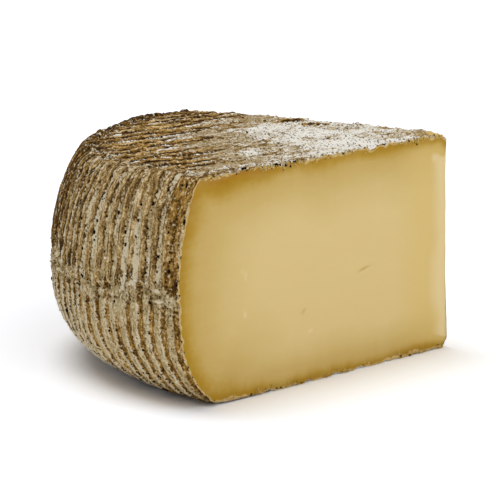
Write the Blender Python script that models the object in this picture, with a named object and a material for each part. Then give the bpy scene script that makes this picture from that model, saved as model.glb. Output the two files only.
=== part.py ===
"""A quarter of a large wheel of hard cheese with a ridged natural rind, as one solid.

The wheel's axis is vertical. The quarter's tip points to +X and its rim to -X, so one cut face looks
towards -Y and +X and the other towards +Y and +X. The solid rests on z = 0, with the origin at the
centre of its bounding box there.
"""

from math import cos, pi, radians, sin, sqrt, tau

import bmesh
import bpy
import numpy as np

# Driving dimensions, in metres
WHEEL_RADIUS = 0.165
WHEEL_HEIGHT = 0.090
QUARTER = radians(90)
TIP_RADIUS = 0.0016
TIP_TOP_ROUNDING = 0.0030
CROWN = 0.0022  # how much lower the top is at the rim than at the middle

# The rim's rounding at the near cut and at the far cut: how far it reaches in, and how far up or down
SHOULDER_IN = (0.0141, 0.0162)
SHOULDER_DOWN = (0.0431, 0.0368)
SHOULDER_POWER = 1.54  # of a superellipse: under 2 is a chamfer with soft corners
FOOT_IN = (0.0260, 0.0451)
FOOT_UP = (0.0395, 0.0300)
FOOT_POWER = 2.04

# Ridges left by the mould: upright ones round the side, straight parallel ones on the top and underside
SIDE_RIDGES = 33
SIDE_PITCH_GROWTH = 0.14  # the ridges are this much further apart at the far cut than midway
SIDE_GROOVE = 0.0013
SIDE_SWAY = 0.16  # of a ridge, how far the spacing wanders round the rim
SIDE_LEAN = 0.10  # of a ridge, how far one ridge wanders on its way up
MAT_PITCH = 0.0105
MAT_DIRECTION = radians(29)
MAT_SWAY = 0.06  # of a ridge
TOP_GROOVE = 0.0014
UNDER_GROOVE = 0.0007
MAT_INNER = 0.56  # of the wheel's radius, where the mat's ridges begin to show
MAT_FULL = 0.74
MAT_EDGE_SWAY = 0.05  # of the wheel's radius, how uneven that beginning is
CREST_FULLNESS = 0.55  # under 1 makes broad crests and narrow grooves
KNUCKLES = (0.84, 0.89)  # of the wheel's radius, across which the top's ridges give way to the rim's
FACING_DOWN = (0.80, 0.97)  # of a normal, across which the rim's ridges give way to the underside's
UNEVEN = 0.0006  # of the rim as a whole
PRESSED_FLAT = 0.0003  # what lies lower than this has settled flat on the shelf

# The fold half way up the rim, where upper and lower ridges don't meet
SCAR_HEIGHT = 0.0455
SCAR_SWAY = 0.0022
SCAR_SPREAD = 0.0032
SCAR_LIP = 0.0008
SCAR_SHIFT = 0.42  # of a ridge, between the upper and lower ridges
SCAR_SMOOTHING = 0.75  # of the ridges' depth, lost at the fold

# The net of faces, before it is thinned out
COLUMNS = 260
ROWS = {"tip": 8, "top": 64, "shoulder": 26, "foot": 26, "under": 44}
MOST_TRIANGLES = 11400

PASTE_COLOUR = (0.68, 0.50, 0.22, 1.0)
RIND_COLOUR = (0.28, 0.20, 0.10, 1.0)


def clear_scene():
    """Removes every object of the scene."""
    for obj in list(bpy.data.objects):
        bpy.data.objects.remove(obj, do_unlink=True)


def material(name, colour, roughness):
    """A plain Principled material."""
    made = bpy.data.materials.new(name)
    made.use_nodes = True
    shader = made.node_tree.nodes["Principled BSDF"]
    shader.inputs["Base Color"].default_value = colour
    shader.inputs["Roughness"].default_value = roughness
    made.diffuse_color = colour
    return made


def smooth(low, high, value):
    """0 below low, 1 above high, and a smooth step between them."""
    share = np.clip((value - low) / (high - low), 0, 1)
    return share * share * (3 - 2 * share)


def waves(x, seed, shortest, longest, count=5):
    """A slow irregular wave along x, about from -1 to 1, of sines with seeded lengths and phases."""
    draw = np.random.RandomState(seed)
    total = np.zeros_like(x)
    for _ in range(count):
        total += np.sin(tau * x / draw.uniform(shortest, longest) + draw.uniform(0, tau))
    return total / sqrt(count)


def between(pair, share):
    """The value at share of the way from the near cut to the far cut."""
    return pair[0] + (pair[1] - pair[0]) * share


def section(share):
    """(r, z) along the closed outline of a radial cut: up the tip, out over the top, down the rim and back."""
    turn = np.linspace(0, pi / 2, ROWS["shoulder"], endpoint=False)
    reach, drop = between(SHOULDER_IN, share), between(SHOULDER_DOWN, share)
    shoulder = (
        WHEEL_RADIUS - reach + reach * np.sin(turn) ** (2 / SHOULDER_POWER),
        WHEEL_HEIGHT - drop + drop * np.cos(turn) ** (2 / SHOULDER_POWER),
    )
    turn = np.linspace(0, pi / 2, ROWS["foot"], endpoint=False)
    reach, rise = between(FOOT_IN, share), between(FOOT_UP, share)
    foot = (
        WHEEL_RADIUS - reach + reach * np.cos(turn) ** (2 / FOOT_POWER),
        rise - rise * np.sin(turn) ** (2 / FOOT_POWER),
    )
    tip = (
        np.full(ROWS["tip"], TIP_RADIUS),
        np.linspace(0, WHEEL_HEIGHT - TIP_TOP_ROUNDING, ROWS["tip"], endpoint=False),
    )
    spread = np.linspace(0, 1, ROWS["top"], endpoint=False) ** 1.25  # closer together near the tip
    top = (
        TIP_RADIUS + (WHEEL_RADIUS - between(SHOULDER_IN, share) - TIP_RADIUS) * spread,
        np.full(ROWS["top"], WHEEL_HEIGHT),
    )
    under = (
        np.linspace(WHEEL_RADIUS - reach, TIP_RADIUS, ROWS["under"], endpoint=False),
        np.zeros(ROWS["under"]),
    )
    r = np.concatenate([part[0] for part in (tip, top, shoulder, foot, under)])
    z = np.concatenate([part[1] for part in (tip, top, shoulder, foot, under)])
    z = z - CROWN * (r / WHEEL_RADIUS) ** 2 * z / WHEEL_HEIGHT
    # Over the tip the top curves down to meet the upright edge.
    past = np.clip(1 - (r - TIP_RADIUS) / TIP_TOP_ROUNDING, 0, 1)
    first, last = ROWS["tip"], ROWS["tip"] + ROWS["top"]
    z[first:last] -= TIP_TOP_ROUNDING * (1 - np.sqrt(1 - past[first:last] ** 2))
    return r, z


def outward(r, z):
    """The unit normals (radial, upward) of a closed outline that runs up the tip and out over the top."""
    dr = np.roll(r, -1) - np.roll(r, 1)
    dz = np.roll(z, -1) - np.roll(z, 1)
    length = np.hypot(dr, dz)
    return -dz / length, dr / length


def ridge(turns, depth):
    """How far the surface lies below a crest, for a ridge each whole turn."""
    crest = 0.5 + 0.5 * np.cos(tau * turns)
    return -depth * (1 - crest**CREST_FULLNESS)


def side_relief(share, z):
    """Upright ridges in two courses, with the fold between them and a slow unevenness over both."""
    arc = share * QUARTER * WHEEL_RADIUS
    turns = SIDE_RIDGES * (share + SIDE_PITCH_GROWTH / 2 * share * (1 - share))
    turns = turns + SIDE_SWAY * waves(arc, 11, 0.03, 0.08)
    upper = ridge(turns + SIDE_LEAN * waves(z, 13, 0.02, 0.05), SIDE_GROOVE)
    lower = ridge(turns + SCAR_SHIFT + SIDE_LEAN * waves(z, 14, 0.02, 0.05), SIDE_GROOVE)
    scar = SCAR_HEIGHT + SCAR_SWAY * waves(arc, 12, 0.02, 0.09)
    above = smooth(-SCAR_SPREAD / 2, SCAR_SPREAD / 2, z - scar)
    near_scar = np.exp(-(((z - scar) / SCAR_SPREAD) ** 2))
    ridged = (above * upper + (1 - above) * lower) * (1 - SCAR_SMOOTHING * near_scar)
    fold = SCAR_LIP * near_scar * np.minimum(waves(arc, 15, 0.006, 0.02), 0)
    slow = waves(arc, 41, 0.05, 0.16) * waves(z, 42, 0.04, 0.12)
    return ridged + fold - UNEVEN * np.clip(0.5 + slow, 0, 1)


def mat_relief(x, y, r, depth, seed):
    """Straight parallel ridges that fade out towards the wheel's middle."""
    along = x * cos(MAT_DIRECTION) + y * sin(MAT_DIRECTION)
    across = -x * sin(MAT_DIRECTION) + y * cos(MAT_DIRECTION)
    turns = across / MAT_PITCH + MAT_SWAY * waves(along, seed, 0.05, 0.15)
    sway = MAT_EDGE_SWAY * waves(across, seed + 1, 0.02, 0.06)
    return ridge(turns, depth) * smooth(MAT_INNER, MAT_FULL, r / WHEEL_RADIUS + sway)


def press_flat(z):
    """The heights, with all that is almost down on the shelf pressed level."""
    return np.where(z < PRESSED_FLAT, 0, z)


def round_off_tip(r, row_r, swing):
    """(x, y) from the wheel's axis, with the rings near the axis turned from outward arcs into a round tip.

    At the tip's own radius an arc is bent back through its chord, and three radii further out it is whole.
    """
    chord = r * cos(QUARTER / 2)
    bulge = np.clip(-1 + 2 * (row_r / TIP_RADIUS - 1) / 3, -1, 1)
    return -(chord + bulge * (r * cos(swing) - chord)), -r * sin(swing)


def surface_points(share):
    """The points down one column of the surface: the section's rows, each moved by the relief there."""
    r, z = section(share)
    n_r, n_z = outward(r, z)
    swing = QUARTER / 2 - share * QUARTER
    x, y = -r * cos(swing), -r * sin(swing)
    upper = z > WHEEL_HEIGHT / 2
    flat = np.where(upper, 1 - smooth(*KNUCKLES, r / WHEEL_RADIUS), smooth(*FACING_DOWN, -n_z))
    relief = (1 - flat) * side_relief(share + 0 * r, z)
    relief += flat * upper * mat_relief(x, y, r, TOP_GROOVE, 21)
    relief += flat * ~upper * mat_relief(x, y, r, UNDER_GROOVE, 31)
    relief = np.where(r < 2 * TIP_RADIUS, 0, relief)
    x, y = round_off_tip(r + n_r * relief, r, swing)
    return np.stack((x, y, press_flat(z + n_z * relief)), axis=1)


def wedge_mesh():
    """The rind as a grid wrapped round the quarter, closed by its two cut faces."""
    rows = sum(ROWS.values())
    net = bmesh.new()
    bmesh.ops.create_grid(net, x_segments=rows, y_segments=COLUMNS, size=1)
    net.verts.ensure_lookup_table()
    points = [surface_points(column / COLUMNS) for column in range(COLUMNS + 1)]
    for vert in net.verts:
        row = round((vert.co.x + 1) / 2 * rows) % rows
        column = round((vert.co.y + 1) / 2 * COLUMNS)
        vert.co = points[column][row]
    bmesh.ops.remove_doubles(net, verts=net.verts, dist=1e-6)
    bmesh.ops.holes_fill(net, edges=[edge for edge in net.edges if edge.is_boundary])
    bmesh.ops.triangulate(net, faces=net.faces)
    bmesh.ops.recalc_face_normals(net, faces=net.faces)
    mesh = bpy.data.meshes.new("cheese_wedge")
    net.to_mesh(mesh)
    net.free()
    return mesh


def thin_out(obj, most):
    """Merges faces where the surface is flattest, until at most this many triangles are left."""
    fewer = obj.modifiers.new("fewer_faces", "DECIMATE")
    fewer.ratio = most / len(obj.data.polygons)
    graph = bpy.context.evaluated_depsgraph_get()
    mesh = bpy.data.meshes.new_from_object(obj.evaluated_get(graph))
    obj.modifiers.clear()
    obj.data = mesh


def stand_on_origin(mesh):
    """Puts the middle of the mesh's bounding box over the origin, and its underside flat on z = 0."""
    points = np.array([vert.co for vert in mesh.vertices])
    low, high = points.min(axis=0), points.max(axis=0)
    points -= ((low[0] + high[0]) / 2, (low[1] + high[1]) / 2, 0)
    points[:, 2] = press_flat(points[:, 2])
    mesh.vertices.foreach_set("co", points.ravel())
    mesh.update()


def colour_faces(mesh):
    """Gives the two cut faces and the tip the paste's material, and all else the rind's."""
    mesh.materials.clear()
    mesh.materials.append(material("rind", RIND_COLOUR, 0.85))
    mesh.materials.append(material("paste", PASTE_COLOUR, 0.45))
    cut = sin(QUARTER / 2)
    for face in mesh.polygons:
        normal = face.normal
        facing = normal.x * cut + abs(normal.y) * cos(QUARTER / 2)
        face.material_index = 1 if facing > 0.98 or normal.x > 0.7 else 0


def main():
    clear_scene()
    mesh = wedge_mesh()
    wedge = bpy.data.objects.new("cheese_wedge", mesh)
    collection = bpy.data.collections.new("cheese")
    bpy.context.scene.collection.children.link(collection)
    collection.objects.link(wedge)
    thin_out(wedge, MOST_TRIANGLES)
    stand_on_origin(wedge.data)
    colour_faces(wedge.data)
    wedge.data.shade_smooth()
    wedge.data.set_sharp_from_angle(angle=radians(40))


main()
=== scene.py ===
from itertools import product
from math import cos, pi, radians, sin, sqrt, tau

import bpy
import numpy as np
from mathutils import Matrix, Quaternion, Vector


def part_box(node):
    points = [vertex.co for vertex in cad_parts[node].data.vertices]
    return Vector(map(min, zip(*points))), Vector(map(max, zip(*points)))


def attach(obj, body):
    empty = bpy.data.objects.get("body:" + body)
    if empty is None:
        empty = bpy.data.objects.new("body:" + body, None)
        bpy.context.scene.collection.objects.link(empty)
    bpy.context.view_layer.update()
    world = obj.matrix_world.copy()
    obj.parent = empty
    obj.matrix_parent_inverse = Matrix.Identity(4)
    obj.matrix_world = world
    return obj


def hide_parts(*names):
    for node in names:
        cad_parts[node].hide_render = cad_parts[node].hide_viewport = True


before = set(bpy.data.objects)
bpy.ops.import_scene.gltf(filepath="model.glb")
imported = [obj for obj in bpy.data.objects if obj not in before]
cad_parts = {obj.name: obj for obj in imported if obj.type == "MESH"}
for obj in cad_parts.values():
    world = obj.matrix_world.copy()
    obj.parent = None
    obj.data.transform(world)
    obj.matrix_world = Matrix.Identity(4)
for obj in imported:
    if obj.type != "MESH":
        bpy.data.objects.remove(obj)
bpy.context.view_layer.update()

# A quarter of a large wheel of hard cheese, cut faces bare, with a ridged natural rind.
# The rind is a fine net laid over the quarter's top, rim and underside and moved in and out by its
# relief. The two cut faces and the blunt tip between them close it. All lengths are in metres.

NODE = "cheese_wedge"
BOX_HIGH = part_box(NODE)[1]

# Driving dimensions, the same as the solid's
HEIGHT = BOX_HIGH.z
RADIUS = 0.165
QUARTER = radians(90)
TIP_RADIUS = 0.0016
TIP_TOP_ROUNDING = 0.003
TIP_TOP_REACH = 0.0085
CROWN = 0.0022
SHOULDER_IN = (0.0141, 0.0162)  # at the near cut and at the far cut
SHOULDER_DOWN = (0.0431, 0.0368)
SHOULDER_POWER = 1.54
FOOT_IN = (0.026, 0.0451)
FOOT_UP = (0.0395, 0.03)
FOOT_POWER = 2.04
SIDE_RIDGES = 33
SIDE_PITCH_GROWTH = 0.14
SIDE_GROOVE = 0.0013
SIDE_SWAY = 0.16
SIDE_LEAN = 0.1
MAT_PITCH = 0.0105
MAT_DIRECTION = radians(29)
MAT_SWAY = 0.06
TOP_GROOVE = 0.0014
UNDER_GROOVE = 0.0007
MAT_INNER = 0.56
MAT_FULL = 0.74
MAT_EDGE_SWAY = 0.05
CREST_FULLNESS = 0.55
KNUCKLES = (0.84, 0.89)
FACING_DOWN = (0.8, 0.97)
UNEVEN = 0.0006
SCAR_HEIGHT = 0.0455
SCAR_SWAY = 0.0022
SCAR_SPREAD = 0.0032
SCAR_LIP = 0.0008
SCAR_SHIFT = 0.42
SCAR_SMOOTHING = 0.75

# Relief that the solid doesn't have
LOWER_GROOVE = 0.8  # the lower course's depth over the upper one's
LIP_HEIGHT = 0.00045
LUMP_HEIGHT = 0.0006
RIM_PIT_DEPTH = 0.0008
CREASE_HEIGHT = 0.0008
FLAKE_HEIGHT = 0.001
CLEFT_DEPTH = 0.001
WRINKLE_HEIGHT = 0.0003
CLUMP_HEIGHT = 0.0005
TOP_PIT_DEPTH = 0.0006
TOP_CRUMB_HEIGHT = 0.0007
CRAG_HEIGHT = 0.0013
KNOB_HEIGHT = 0.0012
KNOB_RING = 0.875  # of the radius
GRAIN_HEIGHT = 0.0002
SHOULDER_BULGES = ((0.08, 0.1, 0.002), (0.87, 0.085, 0.0021))  # share of the way round, width, height
TIP_WEAR = 0.0009
TIP_FOOT_WEAR = 0.0026
TIP_FOOT_RISE = 0.0042
TIP_DENT = 0.00035
SLIT_DEPTH = 0.00022
CUT_EDGE_DEPTH = 0.00035
CUT_EDGE_WIDTH = 0.0009

# Between these shares of the way round, the rim turns from the light and its rind gets darker and browner
TURNING = (0.26, 0.46)

# The wheel's axis, in the frame: the blunt tip reaches the box's side
AXIS_X = BOX_HIGH.x + TIP_RADIUS * (2 * cos(QUARTER / 2) - 1)

# The nets
TOP_CELLS = 280
UNDER_CELLS = 140
RIM_ROWS = 290
SCAR_ROW = 145
EDGE_FADE = 0.006

# Places measured from the wheel's axis: crags (x, y, size), clots (r, size), and slits and chalky spots
# (r, z, length, width, tilt)
CRAGS = ((-0.0629, 0.046, 0.005), (-0.054, 0.035, 0.003), (-0.05, 0.033, 0.003))
CLOTS = (
    (0.127, 0.0009), (0.1086, 0.0006), (0.1065, 0.0007),
    (0.0974, 0.0006), (0.0645, 0.0005), (0.042, 0.0004),
)
SLITS = ((0.0548, 0.0408, 0.0062, 0.0013, 0.2), (0.0927, 0.0288, 0.0036, 0.0012, 0.6))
CHALKY = (
    (0.0548, 0.0399, 0.006, 0.0007, 0.2),
    (0.0935, 0.0281, 0.0034, 0.0007, 0.6),
    (0.1265, 0.048, 0.0016, 0.0034, 0.00),
    (0.1285, 0.05, 0.0012, 0.0018, 0.5),
    (0.0092, 0.0808, 0.003, 0.0034, 0.00),
    (0.127, 0.033, 0.002, 0.003, 0.3),
    (0.0883, 0.0205, 0.003, 0.0016, 0.3),
)

# Grains: a rough twenty-sided blob each
GOLDEN = (1 + sqrt(5)) / 2
GRAIN_FACES = np.array([
    (0, 11, 5), (0, 5, 1), (0, 1, 7), (0, 7, 10), (0, 10, 11), (1, 5, 9), (5, 11, 4),
    (11, 10, 2), (10, 7, 6), (7, 1, 8), (3, 9, 4), (3, 4, 2), (3, 2, 6), (3, 6, 8),
    (3, 8, 9), (4, 9, 5), (2, 4, 11), (6, 2, 10), (8, 6, 7), (9, 8, 1),
])
GRAIN_CORNERS = np.array([
    (-1, GOLDEN, 0), (1, GOLDEN, 0), (-1, -GOLDEN, 0), (1, -GOLDEN, 0), (0, -1, GOLDEN), (0, 1, GOLDEN),
    (0, -1, -GOLDEN), (0, 1, -GOLDEN), (GOLDEN, 0, -1), (GOLDEN, 0, 1), (-GOLDEN, 0, -1), (-GOLDEN, 0, 1),
]) / sqrt(1 + GOLDEN**2)
GRAIN_POINTS = len(GRAIN_CORNERS)

# Dark, tan and white grains of the rind: how many on the rim and on the top, their radii and their marks
RIM_GRAINS = (120, 400, 260)
TOP_GRAINS = (1100, 1300, 1300)
GRAIN_RADII = ((0.00016, 0.00042), (0.0002, 0.00052), (0.0002, 0.00052))
PLAIN_GRAIN = {
    "dark": 0.0, "mould": 0.0, "pale": 0.0, "tone": 0.2, "warm": 0.8, "pits": 0.0, "level": 1.0, "bare": 0.0,
}
GRAIN_MARKS = (
    {**PLAIN_GRAIN, "dark": 1.0, "tone": 0.1},
    {**PLAIN_GRAIN, "mould": -0.6, "tone": 0.62},
    {**PLAIN_GRAIN, "mould": 1.2, "pale": 1.0, "tone": 0.8},
)
CLOT_MARKS = {**PLAIN_GRAIN, "dark": 0.8, "warm": 1.0}
CRUMBS = (300, 200)  # along a cut's upper and lower edge


# Numbers

def smooth(low, high, value):
    """0 below low, 1 above high, and a smooth step between them."""
    share = np.clip((value - low) / (high - low), 0, 1)
    return share * share * (3 - 2 * share)


def between(pair, share):
    """The value at share of the way from the near cut to the far cut."""
    return pair[0] + (pair[1] - pair[0]) * share


def bell(offset, width):
    """1 at no offset, falling away over about one width."""
    return np.exp(-((offset / width) ** 2))


def fade(distance, reach):
    """1 at no distance, falling to 0 at reach."""
    return np.clip(1 - distance / reach, 0, 1) ** 2


def waves(x, seed, shortest, longest, count=5):
    """A slow irregular wave along x, about from -1 to 1, of sines with seeded lengths and phases."""
    draw = np.random.RandomState(seed)
    total = np.zeros_like(x)
    for _ in range(count):
        total += np.sin(tau * x / draw.uniform(shortest, longest) + draw.uniform(0, tau))
    return total / sqrt(count)


def lottery(seed, *cells):
    """A fixed random number from 0 to 1 for each cell of a grid with whole-numbered cells."""
    key = np.full(np.shape(cells[0]), seed * 7919 + 17, dtype=np.int64)
    for cell, prime in zip(cells, (73856093, 19349663, 83492791)):
        key = (key ^ (cell * prime)) & 0x7FFFFFFF
        key = (key * 1103515245 + 12345) & 0x7FFFFFFF
        key = key ^ (key >> 15)
    return key / float(0x7FFFFFFF)


def noise(where, cell, seed):
    """Smooth noise from -1 to 1 at each place, with bumps about one cell wide; where is a list of axes."""
    sizes = cell if isinstance(cell, tuple) else (cell,) * len(where)
    scaled = [axis / size for axis, size in zip(where, sizes)]
    low = [np.floor(axis).astype(np.int64) for axis in scaled]
    part = [smooth(0, 1, axis - whole) for axis, whole in zip(scaled, low)]
    total = 0
    for corner in product((0, 1), repeat=len(where)):
        weight = 1
        for axis, step in zip(part, corner):
            weight = weight * (axis if step else 1 - axis)
        total = total + weight * lottery(seed, *(whole + step for whole, step in zip(low, corner)))
    return 2 * total - 1


def rough(where, cell, seed, octaves=3):
    """Noise with finer and fainter noise on it."""
    total, size, weight = 0, cell, 1.0
    for octave in range(octaves):
        total = total + weight * noise(where, size, seed + 31 * octave)
        size = tuple(side / 2.1 for side in size) if isinstance(size, tuple) else size / 2.1
        weight *= 0.6
    return total


def dots(u, v, cell, seed, density, radii, spread=1.0, stretch=1.0):
    """Scattered round spots, at most one to a cell of (u, v): 1 at a spot's middle and 0 outside it."""
    strength = np.zeros(np.shape(u))
    column, row = np.floor(u / cell[0]).astype(np.int64), np.floor(v / cell[1]).astype(np.int64)
    for step_u, step_v in product((-1, 0, 1), repeat=2):
        i, j = column + step_u, row + step_v
        at_u = (i + 0.5 + spread * (lottery(seed, i, j) - 0.5)) * cell[0]
        at_v = (j + lottery(seed + 1, i, j)) * cell[1]
        radius = radii[0] + (radii[1] - radii[0]) * lottery(seed + 2, i, j) ** 2
        away = np.hypot(u - at_u, (v - at_v) / stretch) / radius
        shown = lottery(seed + 3, i, j) < density
        strength = np.maximum(strength, shown * np.clip(1 - away * away, 0, 1))
    return strength


# The wheel's form

def crowned(r, z):
    """The height z with the wheel's slight fall towards its rim."""
    return z - CROWN * (r / RADIUS) ** 2 * z / HEIGHT


def rim_section(share):
    """(r, z) of the rim's section, fine, from the top's edge over the shoulder and foot to the underside."""
    turn = np.linspace(0, pi / 2, 160)[:, None]
    reach, drop = between(SHOULDER_IN, share), between(SHOULDER_DOWN, share)
    shoulder_r = RADIUS - reach + reach * np.sin(turn) ** (2 / SHOULDER_POWER)
    shoulder_z = HEIGHT - drop + drop * np.cos(turn) ** (2 / SHOULDER_POWER)
    reach, rise = between(FOOT_IN, share), between(FOOT_UP, share)
    foot_r = RADIUS - reach + reach * np.cos(turn) ** (2 / FOOT_POWER)
    foot_z = rise - rise * np.sin(turn) ** (2 / FOOT_POWER)
    r = np.concatenate((shoulder_r, foot_r))
    return r, crowned(r, np.concatenate((shoulder_z, foot_z)))


def rim_net(shares):
    """r, z and the section's normals at RIM_ROWS + 1 even steps down the rim, for each column's share."""
    fine_r, fine_z = rim_section(shares[None, :])
    step = np.hypot(np.diff(fine_r, axis=0), np.diff(fine_z, axis=0))
    run = np.vstack((np.zeros(len(shares)), np.cumsum(step, axis=0)))
    even = np.linspace(0, 1, RIM_ROWS + 1)
    r, z = np.empty((RIM_ROWS + 1, len(shares))), np.empty((RIM_ROWS + 1, len(shares)))
    for k in range(len(shares)):
        r[:, k] = np.interp(even * run[-1, k], run[:, k], fine_r[:, k])
        z[:, k] = np.interp(even * run[-1, k], run[:, k], fine_z[:, k])
    n_r, n_z = -np.gradient(z, axis=0), np.gradient(r, axis=0)
    length = np.hypot(n_r, n_z)
    n_r, n_z = n_r / length, n_z / length
    n_r[0], n_z[0] = 0, 1
    n_r[-1], n_z[-1] = 0, -1
    return r, z, n_r, n_z


def quarter_net(cells):
    """A square net bent to fill a quarter disc: how far out along each cut, from 0 to 1."""
    even = np.linspace(0, 1, cells + 1)
    p, q = np.meshgrid(even, even, indexing="ij")
    return p * np.sqrt(1 - q**2 / 2), q * np.sqrt(1 - p**2 / 2)


def blunt(p, q):
    """Rounds the corner of the quarter at the axis; p and q are lengths along the two cuts."""
    less, more = np.minimum(p, q), np.maximum(p, q)
    turn = np.clip(1 - more / TIP_RADIUS, 0, 1) * pi / 4
    keep = fade(less, TIP_RADIUS) * (more < TIP_RADIUS)
    new_more = more + keep * (TIP_RADIUS - TIP_RADIUS * np.sin(turn) - more)
    new_less = less + keep * (TIP_RADIUS - TIP_RADIUS * np.cos(turn))
    return np.where(p >= q, new_more, new_less), np.where(p >= q, new_less, new_more)


def tip_fall(r):
    """How far the top falls towards the blunt tip."""
    return TIP_TOP_ROUNDING * np.clip(1 - (r - TIP_RADIUS * (sqrt(2) - 1)) / TIP_TOP_REACH, 0, 1) ** 2.2


def tip_wave(z):
    """How far the upright edge between the cuts is worn back, unevenly down its height."""
    wave = 0.5 + 0.35 * noise((z,), 0.018, 403) + 0.15 * noise((z,), 0.006, 404)
    foot = TIP_FOOT_WEAR * fade(z, TIP_FOOT_RISE)
    return foot + TIP_WEAR * wave * smooth(0, 0.006, z) * smooth(0, 0.01, HEIGHT - TIP_TOP_ROUNDING - z)


def place(p, q, z):
    """Points of the frame from lengths along the near cut and the far cut, and the height."""
    x = AXIS_X - (p + q) * cos(QUARTER / 2)
    y = (q - p) * sin(QUARTER / 2)
    return np.stack((x, y, z), axis=-1)


# The rind's relief and marks

def ridge(turns, depth):
    """How far the surface lies below a crest, for a ridge each whole turn."""
    crest = 0.5 + 0.5 * np.cos(tau * turns)
    return -depth * (1 - crest**CREST_FULLNESS)


def off_crest(turns):
    """How far across a ridge, from -0.5 to 0.5 turns, with the crest at 0."""
    return turns - np.round(turns)


def rim_pits(arc, z, turns, crowd, near_scar):
    """Pits in rows down both edges of the hollows, a few anywhere, large ones, and some by the near cut."""
    pitch = QUARTER * RADIUS / SIDE_RIDGES
    rows = [
        dots((turns + shift) * pitch, z, (pitch, 0.0021), seed, crowd, (0.00024, 0.00058), 0.12, 1.5)
        for shift, seed in ((0.14, 54), (-0.18, 254))
    ]
    few = dots(arc, z, (0.004, 0.0036), 58, 0.22, (0.0002, 0.0005), 1.0, 1.3) * (1 - near_scar)
    large = dots(arc, z, (0.02, 0.018), 67, 0.22, (0.0005, 0.0009), 1.0, 1.5)
    by_cut = dots(arc + 0.0014, z, (0.004, 0.009), 74, 0.5 * (arc < 0.002), (0.0003, 0.0007), 0.1, 1.7)
    return np.maximum.reduce((*rows, few, large, by_cut))


def fold_marks(arc, z, rise):
    """Creases, flakes and open clefts of the rim's fold; rise is the height above its middle."""
    crease = rough((arc, rise), (0.006, 0.0012), 62, 2)
    flakes = dots(arc, rise, (0.008, 0.005), 68, 0.6, (0.001, 0.0028), 1.0, 0.6)
    crack = np.abs(noise((arc, rise), (0.009, 0.0045), 63) + 0.25 * noise((arc, z), 0.0016, 60))
    cleft = (1 - smooth(0.03, 0.18, crack)) * bell(rise, 0.0034) * smooth(-0.2, 0.4, noise((arc,), 0.012, 61))
    return crease, flakes, cleft


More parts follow.
